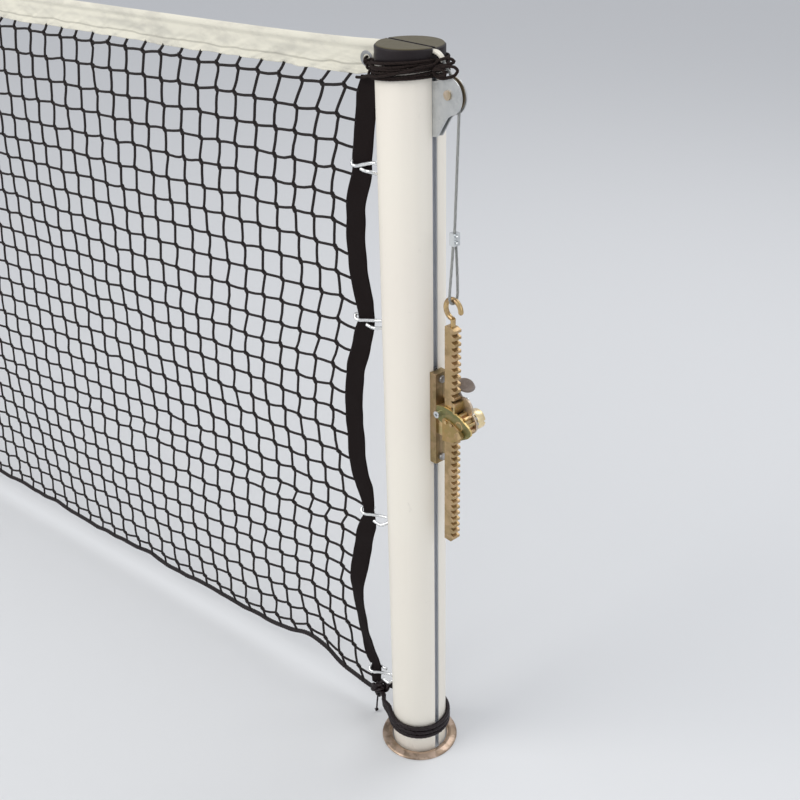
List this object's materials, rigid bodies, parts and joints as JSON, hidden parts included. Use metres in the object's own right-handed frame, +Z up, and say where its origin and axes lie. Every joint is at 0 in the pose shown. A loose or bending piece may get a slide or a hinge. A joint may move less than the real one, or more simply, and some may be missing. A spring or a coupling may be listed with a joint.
{
  "type": "tennis net on two socketed posts with a rack tensioner",
  "caption": "Knotted net with a canvas headband between two round socketed posts, drawn tight over a pulley by a hand-cranked rack and pinion.",
  "frame": {"origin": "near post axis at floor level, at the mouth of its ground sleeve", "axes": "+X along the net, away from the far post; +Z up the posts; +Y across the net"},
  "size_m": [12.9941, 0.1262, 1.432],
  "materials": {
    "coat": "satin cream coat",
    "cap": "matte",
    "socket_steel": "plain",
    "floor_brass": "dull",
    "hook_brass": "satin",
    "bright_zinc": "bright zinc",
    "bare_steel": "plain",
    "yellow_zinc": "yellow zinc",
    "grey_grip": "matte",
    "canvas": "woven canvas",
    "sheath": "smooth sheath",
    "black_cord": "braided cord",
    "black_tape": "woven tape"
  },
  "bodies": {
    "posts_and_net": {"near_post_profile": "coat", "near_post_cap": "cap", "near_ground_sleeve": "socket_steel", "near_floor_ring": "floor_brass", "pulley_bracket": "bright_zinc", "pulley_axle": "bare_steel", "base_bar": "yellow_zinc", "base_bar_screws": "bright_zinc", "base_bar_t_nuts": "bright_zinc", "rack_guide": "yellow_zinc", "near_cheek": "yellow_zinc", "far_cheek": "yellow_zinc", "bridge_plate": "yellow_zinc", "cover_plate": "yellow_zinc", "cover_screws": "hook_brass", "cheek_screws": "bright_zinc", "shaft_bushes": "hook_brass", "pawl_pin": "bright_zinc", "pawl_spring": "bare_steel", "sheave_cable": "bare_steel", "net_cable": "sheath", "headband": "canvas", "net_panel": "black_cord", "near_side_tape": "black_tape", "far_side_tape": "black_tape", "bottom_cord": "black_cord", "headband_grommets": "bright_zinc", "near_s_hooks": "bright_zinc", "far_s_hooks": "bright_zinc", "near_groove_hooks": "hook_brass", "far_groove_hooks": "hook_brass", "near_top_lashing": "black_cord", "near_top_bow": "black_cord", "near_bottom_lashing": "black_cord", "near_bottom_tail": "black_cord", "far_post_profile": "coat", "far_post_cap": "cap", "far_ground_sleeve": "socket_steel", "far_floor_ring": "floor_brass", "far_cable_hook": "bright_zinc", "far_cable_end": "bare_steel", "far_top_lashing": "black_cord", "far_top_bow": "black_cord", "far_bottom_lashing": "black_cord", "far_bottom_tail": "black_cord"},
    "crank": {"pinion": "yellow_zinc", "pinion_shaft": "bare_steel", "ratchet_wheel": "bare_steel", "crank_coupling": "yellow_zinc"},
    "rack_slide": {"rack": "yellow_zinc", "rack_hook": "yellow_zinc", "cable_loop": "bare_steel", "wire_clip": "bright_zinc", "cable_run": "bare_steel"},
    "sheave": {"sheave": "hook_brass"},
    "pawl": {"pawl": "grey_grip"}
  },
  "joints": [
    {"name": "crank_turn", "type": "hinge", "parent": "posts_and_net", "child": "crank", "pos_m": [0.09247, -0.01631, 0.612], "axis": [0.1736, 0.9848, 0], "range_deg": [0, 467]},
    {"name": "rack_travel", "type": "slide", "parent": "posts_and_net", "child": "rack_slide", "axis": [0, 0, 1], "range_m": [0, 0.11], "deforming": ["cable_run"]},
    {"name": "sheave_spin", "type": "hinge", "parent": "posts_and_net", "child": "sheave", "pos_m": [0.06648, -0.01172, 1.028], "axis": [0.1736, 0.9848, 0], "range_deg": [-442.9, 0]},
    {"name": "pawl_swing", "type": "hinge", "parent": "posts_and_net", "child": "pawl", "pos_m": [0.07819, -0.01379, 0.6342], "axis": [0.1736, 0.9848, 0], "range_deg": [0, 25], "stiffness_Nm_per_rad": 0.05}
  ],
  "couplings": [
    {"joint": "crank_turn", "follows": "rack_travel", "rad_per_m": 74.074},
    {"joint": "sheave_spin", "follows": "rack_travel", "rad_per_m": -70.175}
  ]
}
